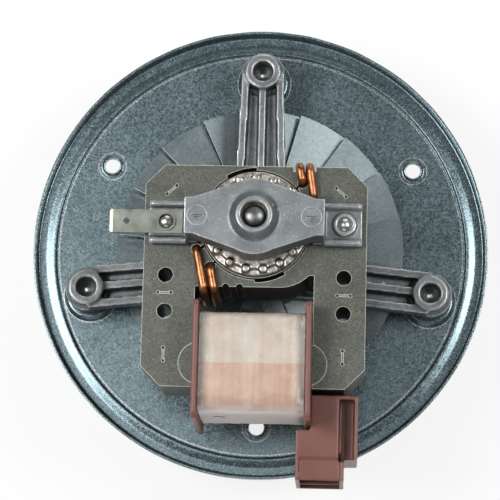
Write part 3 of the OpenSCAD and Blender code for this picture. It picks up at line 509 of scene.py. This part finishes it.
turns, gi, go = start_group("wire turns", [("Size", FLOAT, 1.3)], [("Streak", FLOAT)])
xyz = add(turns, "ShaderNodeSeparateXYZ", [(0, object_place(turns))]).outputs
along = add(turns, "ShaderNodeCombineXYZ", [(0, xyz["X"]), (1, math_node(turns, "MULTIPLY", xyz["Y"], 0.04)),
                                            (2, math_node(turns, "MULTIPLY", xyz["Z"], 0.04))]).outputs[0]
strands = noise(turns, along, math_node(turns, "DIVIDE", 1.0, gi["Size"]), 3, 0.6)
turns.links.new(spread(turns, strands, 0.38, 0.62), go["Streak"])

# Edge: real wear together with a painted highlight, where the pointiness is high. Hollow: painted shade, where the
# pointiness is low.
wear_edge_light_and_hollow_shade, gi, go = start_group("wear, edge light and hollow shade", [("Start", FLOAT, 0.53), ("Full", FLOAT, 0.60)], [("Edge", FLOAT), ("Hollow", FLOAT)])
point = add(wear_edge_light_and_hollow_shade, "ShaderNodeNewGeometry").outputs["Pointiness"]
rub = math_node(wear_edge_light_and_hollow_shade, "MULTIPLY", noise(wear_edge_light_and_hollow_shade, object_place(wear_edge_light_and_hollow_shade), 0.9, 4, 0.7), 1.6, True)
wear_edge_light_and_hollow_shade.links.new(math_node(wear_edge_light_and_hollow_shade, "MULTIPLY", spread(wear_edge_light_and_hollow_shade, point, gi["Start"], gi["Full"]), rub), go["Edge"])
wear_edge_light_and_hollow_shade.links.new(spread(wear_edge_light_and_hollow_shade, point, 0.48, 0.40), go["Hollow"])
# Edge: where the normal bends within the given width. The finishes paint a highlight there, on the plate together with
# rubbing of the zinc.
corners, gi, go = start_group("edge highlight and rub mask", [("Width", FLOAT, 0.3)], [("Edge", FLOAT)])
soft = add(corners, "ShaderNodeBevel", [("Radius", math_node(corners, "MULTIPLY", gi["Width"], MM))], samples=6).outputs[0]
true = add(corners, "ShaderNodeNewGeometry").outputs["Normal"]
bent = add(corners, "ShaderNodeVectorMath", [(0, soft), (1, true)], operation="DOT_PRODUCT").outputs["Value"]
corners.links.new(spread(corners, bent, 0.99, 0.85), go["Edge"])
print("shared effects:", [g.name for g in bpy.data.node_groups])

# %% [markdown]
# ## The finishes
# Each finish is one Principled shader. Bare metals are fully metallic, with a base colour measured
# as reflectance; castings are rough and pitted, sheets carry the spangle, and the film is partly
# see-through, so that the copper below it gives the pink tone.


# %% Finishes
def start_material(slot, metallic, roughness, **plain):
    """New material with one Principled shader; plain values are set on its own sockets."""
    made = bpy.data.materials.new(slot)
    made.use_nodes = True
    tree = made.node_tree
    tree.nodes.clear()
    shader = add(tree, "ShaderNodeBsdfPrincipled", [("Metallic", metallic), ("Roughness", roughness)])
    for key, value in plain.items():
        shader.inputs[key.replace("_", " ")].default_value = value
    tree.links.new(shader.outputs[0], add(tree, "ShaderNodeOutputMaterial").inputs[0])
    return made, tree, shader.inputs


def use(tree, group, **values):
    made = add(tree, "ShaderNodeGroup", node_tree=group)
    for key, value in values.items():
        made.inputs[key].default_value = value
    return made.outputs


def bump(tree, sockets, height, depth, strength=1.0):
    """Bump of the given depth in millimetres."""
    made = add(tree, "ShaderNodeBump", [("Height", height), ("Distance", depth * MM), ("Strength", strength)])
    tree.links.new(made.outputs[0], sockets["Normal"])


def rgb(r, g, b):
    return (r, g, b, 1.0)


FINISH = {}


def zinc_sheet(slot, dark, light, size, smoothest, painted_cut_edge_highlight):
    made, tree, shader = start_material(slot, 0.8, 0.4)
    cells = use(tree, spangle, Size=size)
    tone = use(tree, uneven_tone, Dark=rgb(0.82, 0.84, 0.86), Light=rgb(1.05, 1.05, 1.05), Size=14.0, Contrast=0.22)
    zinc = mixed(tree, cells["Cell"], dark, light)
    zinc = mixed(tree, math_node(tree, "MULTIPLY", cells["Fleck"], 0.3), zinc, rgb(0.62, 0.68, 0.70))
    zinc = add(tree, "ShaderNodeMix", [("Factor", 1.0), (6, zinc), (7, tone["Color"])], data_type="RGBA",
               blend_type="MULTIPLY").outputs[2]
    if painted_cut_edge_highlight:
        # Painted highlight: the fan's cut edges, which face sideways, are made nearly white.
        side = use(tree, sheet_edges, Pitch=50.0)["Side"]
        zinc = mixed(tree, math_node(tree, "MULTIPLY", side, 0.8), zinc, rgb(0.86, 0.88, 0.88))
    else:
        # Painted highlight along the plate's edges, together with rubbing of the zinc.
        rub_and_edge_highlight = use(tree, corners, Width=0.5)["Edge"]
        zinc = mixed(tree, math_node(tree, "MULTIPLY", rub_and_edge_highlight, 0.8), zinc, rgb(0.85, 0.87, 0.88))
    tree.links.new(zinc, shader["Base Color"])
    rough = math_node(tree, "ADD", spread(tree, cells["Cell"], 0, 1, smoothest, smoothest + 0.12),
                      math_node(tree, "MULTIPLY", tone["Value"], 0.05))
    tree.links.new(rough, shader["Roughness"])
    bump(tree, shader, cells["Height"], 0.03, 0.6)
    FINISH[slot] = made


def cast_metal(slot, dark, light, bright, rough, grain_size, depth):
    made, tree, shader = start_material(slot, 0.9, rough)
    tone = use(tree, uneven_tone, Dark=dark, Light=light, Size=5.0, Contrast=0.18)
    pits = use(tree, grain, Size=grain_size, Pits=0.5)
    wear_light_and_shade = use(tree, wear_edge_light_and_hollow_shade, Start=0.51, Full=0.55)
    fleck = spread(tree, noise(tree, object_place(tree), 1.6, 2, 0.5), 0.60, 0.70)
    colour = mixed(tree, math_node(tree, "MULTIPLY", fleck, 0.22), tone["Color"], bright)
    # Real wear with a painted highlight: the edges are made bright.
    colour = mixed(tree, math_node(tree, "MULTIPLY", wear_light_and_shade["Edge"], 0.85), colour, bright)
    # Painted shade: the hollows are darkened almost to black.
    colour = mixed(tree, math_node(tree, "MULTIPLY", wear_light_and_shade["Hollow"], 0.55), colour, rgb(0.03, 0.03, 0.03))
    colour = mixed(tree, math_node(tree, "MULTIPLY", pits["Pit"], 0.35), colour, dark)
    tree.links.new(colour, shader["Base Color"])
    tree.links.new(math_node(tree, "SUBTRACT", rough + 0.08, math_node(tree, "MULTIPLY", wear_light_and_shade["Edge"], 0.2)), shader["Roughness"])
    bump(tree, shader, pits["Height"], depth)
    FINISH[slot] = made


def plain_metal(slot, dark, light, rough, size, depth=0.01):
    made, tree, shader = start_material(slot, 1.0, rough)
    tone = use(tree, uneven_tone, Dark=dark, Light=light, Size=size, Contrast=0.2)
    skin = use(tree, grain, Size=0.35, Pits=0.4)
    tree.links.new(mixed(tree, math_node(tree, "MULTIPLY", skin["Pit"], 0.3), tone["Color"], dark), shader["Base Color"])
    tree.links.new(spread(tree, tone["Value"], 0, 1, rough - 0.06, rough + 0.08), shader["Roughness"])
    bump(tree, shader, skin["Height"], depth)
    FINISH[slot] = made


zinc_sheet("galvanised_sheet", rgb(0.11, 0.155, 0.17), rgb(0.20, 0.265, 0.285), 0.45, 0.18, False)
zinc_sheet("fan_sheet", rgb(0.19, 0.235, 0.245), rgb(0.27, 0.315, 0.32), 0.4, 0.28, True)
cast_metal("bracket_casting", rgb(0.115, 0.125, 0.128), rgb(0.215, 0.23, 0.235), rgb(0.72, 0.73, 0.73), 0.44, 0.5, 0.03)
cast_metal("bridge_casting", rgb(0.15, 0.165, 0.172), rgb(0.24, 0.26, 0.265), rgb(0.75, 0.76, 0.76), 0.42, 0.32, 0.022)
plain_metal("plated_steel", rgb(0.45, 0.45, 0.43), rgb(0.62, 0.62, 0.60), 0.3, 2.0)
plain_metal("shaft_steel", rgb(0.13, 0.135, 0.135), rgb(0.22, 0.225, 0.22), 0.36, 3.0, 0.004)
plain_metal("cage_aluminium", rgb(0.22, 0.19, 0.15), rgb(0.62, 0.60, 0.56), 0.36, 1.3, 0.025)
plain_metal("bare_copper", rgb(0.17, 0.065, 0.028), rgb(0.60, 0.27, 0.13), 0.36, 1.8)
plain_metal("tinned_brass", rgb(0.20, 0.21, 0.18), rgb(0.31, 0.32, 0.27), 0.36, 4.0)
plain_metal("sintered_bronze", rgb(0.26, 0.19, 0.11), rgb(0.42, 0.32, 0.20), 0.5, 1.0, 0.02)

made, tree, shader = start_material("lamination", 0.9, 0.5)
tone = use(tree, uneven_tone, Dark=rgb(0.11, 0.12, 0.105), Light=rgb(0.175, 0.185, 0.165), Size=6.0, Contrast=0.2)
skin = use(tree, grain, Size=0.42, Pits=0.4)
sheets = use(tree, sheet_edges, Pitch=0.5)
colour = mixed(tree, spread(tree, skin["Height"], 0.35, 0.65), rgb(0.075, 0.075, 0.065), tone["Color"])
colour = mixed(tree, math_node(tree, "MULTIPLY", skin["Pit"], 0.5), colour, rgb(0.30, 0.27, 0.19))
colour = mixed(tree, math_node(tree, "MULTIPLY", sheets["Line"], 0.7), colour, rgb(0.05, 0.048, 0.04))
# Painted highlight: the edges of the stack are made nearly white.
colour = mixed(tree, math_node(tree, "MULTIPLY", use(tree, corners, Width=0.3)["Edge"], 0.9), colour, rgb(0.80, 0.79, 0.72))
tree.links.new(colour, shader["Base Color"])
tree.links.new(spread(tree, tone["Value"], 0, 1, 0.42, 0.55), shader["Roughness"])
bump(tree, shader, math_node(tree, "ADD", skin["Height"], math_node(tree, "MULTIPLY", sheets["Line"], -3.0)), 0.02)
FINISH["lamination"] = made

made, tree, shader = start_material("brown_moulding", 0.0, 0.42, Specular_IOR_Level=0.45)
tone = use(tree, uneven_tone, Dark=rgb(0.138, 0.050, 0.038), Light=rgb(0.180, 0.070, 0.054), Size=6.0, Contrast=0.25)
skin = use(tree, grain, Size=0.3, Pits=0.3)
wear_light_and_shade = use(tree, wear_edge_light_and_hollow_shade, Start=0.52, Full=0.60)
# Real wear with a painted highlight: the edges are made lighter.
colour = mixed(tree, math_node(tree, "MULTIPLY", wear_light_and_shade["Edge"], 0.3), tone["Color"], rgb(0.42, 0.26, 0.21))
tree.links.new(colour, shader["Base Color"])
tree.links.new(spread(tree, tone["Value"], 0, 1, 0.36, 0.48), shader["Roughness"])
bump(tree, shader, skin["Height"], 0.012)
FINISH["brown_moulding"] = made

made, tree, shader = start_material("oil_felt", 0.0, 0.9)
skin = use(tree, grain, Size=0.25, Pits=0.6)
tree.links.new(mixed(tree, skin["Height"], rgb(0.34, 0.30, 0.2), rgb(0.6, 0.55, 0.42)), shader["Base Color"])
bump(tree, shader, skin["Height"], 0.08)
FINISH["oil_felt"] = made

made, tree, shader = start_material("copper_wire", 0.75, 0.32, Coat_Weight=0.4)
streak = use(tree, turns, Size=1.3)["Streak"]
tree.links.new(mixed(tree, streak, rgb(0.42, 0.14, 0.05), rgb(0.86, 0.46, 0.24)), shader["Base Color"])
FINISH["copper_wire"] = made

made, tree, shader = start_material("coil_film", 0.0, 0.3, Specular_IOR_Level=0.5)
place = object_place(tree)
xyz = add(tree, "ShaderNodeSeparateXYZ", [(0, place)]).outputs
FILM_END_Y = -38.6
lap_edge = math_node(tree, "ADD", xyz["Y"], math_node(tree, "MULTIPLY", noise(tree, place, 0.12, 2), 0.8))
lap = spread(tree, lap_edge, FILM_END_Y + 0.3, FILM_END_Y + 0.6)
front = spread(tree, xyz["Z"], 45, 52)
lap = math_node(tree, "MULTIPLY", lap, front)
cloud = spread(tree, noise(tree, place, 0.22, 4, 0.6), 0.3, 0.7)
colour = mixed(tree, lap, rgb(0.66, 0.49, 0.39), rgb(0.56, 0.51, 0.44))
streak = math_node(tree, "MULTIPLY", use(tree, turns, Size=3.2)["Streak"], spread(tree, lap, 0, 1, 0.75, 0.4))
colour = mixed(tree, streak, colour, rgb(0.52, 0.30, 0.20))
colour = mixed(tree, math_node(tree, "MULTIPLY", cloud, 0.25), colour, rgb(0.76, 0.72, 0.66))
margin = spread(tree, math_node(tree, "ABSOLUTE", xyz["X"]), 11.4, 13.2)
colour = mixed(tree, math_node(tree, "MULTIPLY", margin, 0.75), colour, rgb(0.36, 0.34, 0.31))
# Painted highlights: crinkles of the film near its two ends are made nearly white.
fold_highlight_place = add(tree, "ShaderNodeVectorMath", [(0, place), (1, (1.0, 0.22, 0.3))], operation="MULTIPLY").outputs[0]
fold_highlight = spread(tree, noise(tree, fold_highlight_place, 0.8, 4, 0.6, 1.0), 0.56, 0.66)
colour = mixed(tree, math_node(tree, "MULTIPLY", fold_highlight, spread(tree, math_node(tree, "ABSOLUTE", xyz["X"]), 9.5, 13.5, 0.05, 0.8)),
               colour, rgb(0.86, 0.84, 0.80))
# Painted light: the lower side of the film is made lighter and more opaque.
painted_light_low_side = spread(tree, xyz["Y"], -49.6, -51.2)
colour = mixed(tree, math_node(tree, "MULTIPLY", painted_light_low_side, 0.85), colour, rgb(0.88, 0.80, 0.77))
tree.links.new(colour, shader["Base Color"])
alpha = math_node(tree, "ADD", spread(tree, cloud, 0, 1, 0.56, 0.7), math_node(tree, "MULTIPLY", lap, 0.22), True)
alpha = math_node(tree, "MAXIMUM", alpha, math_node(tree, "MULTIPLY", painted_light_low_side, 0.9))
tree.links.new(alpha, shader["Alpha"])
bump(tree, shader, noise(tree, place, 0.5, 3, 0.5), 0.05)
FINISH["coil_film"] = made

# %% [markdown]
# ## Giving every piece its finish
# Each new piece gets its finish from a table that pairs it with a finish.
# The solids that stay as they are get theirs in the slot that they came with.

# %% Hand out the finishes
slot_of = {row["node"]: row["material_slot"] for row in frame["record"]["subparts"]}
for name, solid in NODES.items():
    for slot in solid.material_slots:
        slot.material = FINISH[slot_of[name]]
new_pieces = {plate: "galvanised_sheet", bracket: "bracket_casting", bridge: "bridge_casting", housing: "brown_moulding",
              bobbin: "brown_moulding", end_rings: "cage_aluminium", winding: "copper_wire", film: "coil_film",
              shaft: "shaft_steel"}
for word in ("left", "right"):
    new_pieces[bpy.data.objects[f"earth_sign_{word}"]] = "bridge_casting"
for piece, slot in new_pieces.items():
    piece.data.materials.append(FINISH[slot])
dark_fibre, tree, shader = start_material("dark_fibre", 0.0, 0.6)
strand = use(tree, uneven_tone, Dark=rgb(0.02, 0.018, 0.015), Light=rgb(0.09, 0.08, 0.07), Size=0.5, Contrast=0.2)
tree.links.new(strand["Color"], shader["Base Color"])
fibre.data.materials.append(dark_fibre)
print("finishes:", sorted(FINISH))

# %% [markdown]
# ## Camera, floor and light
# The camera is the one that the plate's rim, the bosses and the corners of the core fix: about
# 0.75 m away and ten degrees below the shaft's line. The floor is plain and pale and lies under the
# shaft's end. The light is that of a small product studio: a wide lamp in front and two at the sides.

# %% Camera
RIGHT = (0.99918666, 0.02423934, -0.03222549)
UP = (-0.01817013, 0.98407605, 0.17681681)
BACK = (0.03599826, -0.17608745, 0.98371608)
camera = bpy.data.objects.new("camera", bpy.data.cameras.new("camera"))
bpy.context.scene.collection.objects.link(camera)
camera.data.sensor_width, camera.data.lens = 36.0, 187.57
camera.data.clip_start, camera.data.clip_end = 0.01, 20
turn_matrix = Matrix((RIGHT, UP, BACK)).transposed().to_4x4()
camera.matrix_world = Matrix.Translation((0.023869, -0.130427, 0.736042)) @ turn_matrix
bpy.context.scene.camera = camera
print("camera at", [round(v, 3) for v in camera.location])

# %% Floor and world
FLOOR_Z = CAD_BOX[0][2] - 0.0004
floor_mesh = bpy.data.meshes.new("floor")
floor_mesh.from_pydata([(x, y, FLOOR_Z) for x, y in ((-4, -4), (4, -4), (4, 4), (-4, 4))], [], [(0, 1, 2, 3)])
floor = new_object("floor", floor_mesh)
floor_paint, tree, shader = start_material("floor_paint", 0.0, 0.7)
shader["Base Color"].default_value = rgb(0.88, 0.88, 0.88)
path = add(tree, "ShaderNodeLightPath").outputs
seen = math_node(tree, "ADD", math_node(tree, "ADD", path["Is Camera Ray"], path["Is Glossy Ray"]),
                 path["Is Transmission Ray"], True)
white = add(tree, "ShaderNodeEmission", [("Strength", 1.0)]).outputs[0]
blend = add(tree, "ShaderNodeMixShader", [(0, math_node(tree, "MULTIPLY", seen, 0.8)),
            (1, tree.nodes["Principled BSDF"].outputs[0]), (2, white)])
tree.links.new(blend.outputs[0], tree.nodes["Material Output"].inputs[0])
floor_mesh.materials.append(floor_paint)

world = bpy.data.worlds.new("studio")
bpy.context.scene.world = world
world.use_nodes = True
world.node_tree.nodes["Background"].inputs["Color"].default_value = rgb(0.62, 0.64, 0.66)
world.node_tree.nodes["Background"].inputs["Strength"].default_value = 0.2


# %% Lamps
def lamp(name, place, target, size, power, colour=(1, 1, 1)):
    """Square soft lamp that looks at the target; places in metres."""
    light = bpy.data.lights.new(name, "AREA")
    light.shape, light.size, light.energy, light.color = "SQUARE", size, power, colour
    made = bpy.data.objects.new(name, light)
    bpy.context.scene.collection.objects.link(made)
    made.location = place
    way = made.location.copy()
    way.x, way.y, way.z = way.x - target[0], way.y - target[1], way.z - target[2]
    made.rotation_mode = "QUATERNION"
    made.rotation_quaternion = way.to_track_quat("Z", "Y")


lamp("left lamp", (-0.55, 0.0, 0.84), (0, 0, 0.03), 0.45, 6.8)
lamp("right lamp", (0.58, 0.1, 0.81), (0, 0, 0.03), 0.35, 5)
lamp("near lamp", (-0.33, 0.02, 0.95), (0, 0, 0.03), 0.4, 0.8)
lamp("top lamp", (-0.02, -0.06, 0.95), (0, 0, 0.03), 0.2, 0.25)
lamp("upper lamp", (0.1, 0.95, 0.4), (0, 0, 0.03), 0.7, 2.5)
lamp("lower lamp", (-0.1, -0.95, 0.35), (0, 0, 0.03), 0.7, 1.5)
bpy.context.scene.view_settings.view_transform = "Standard"
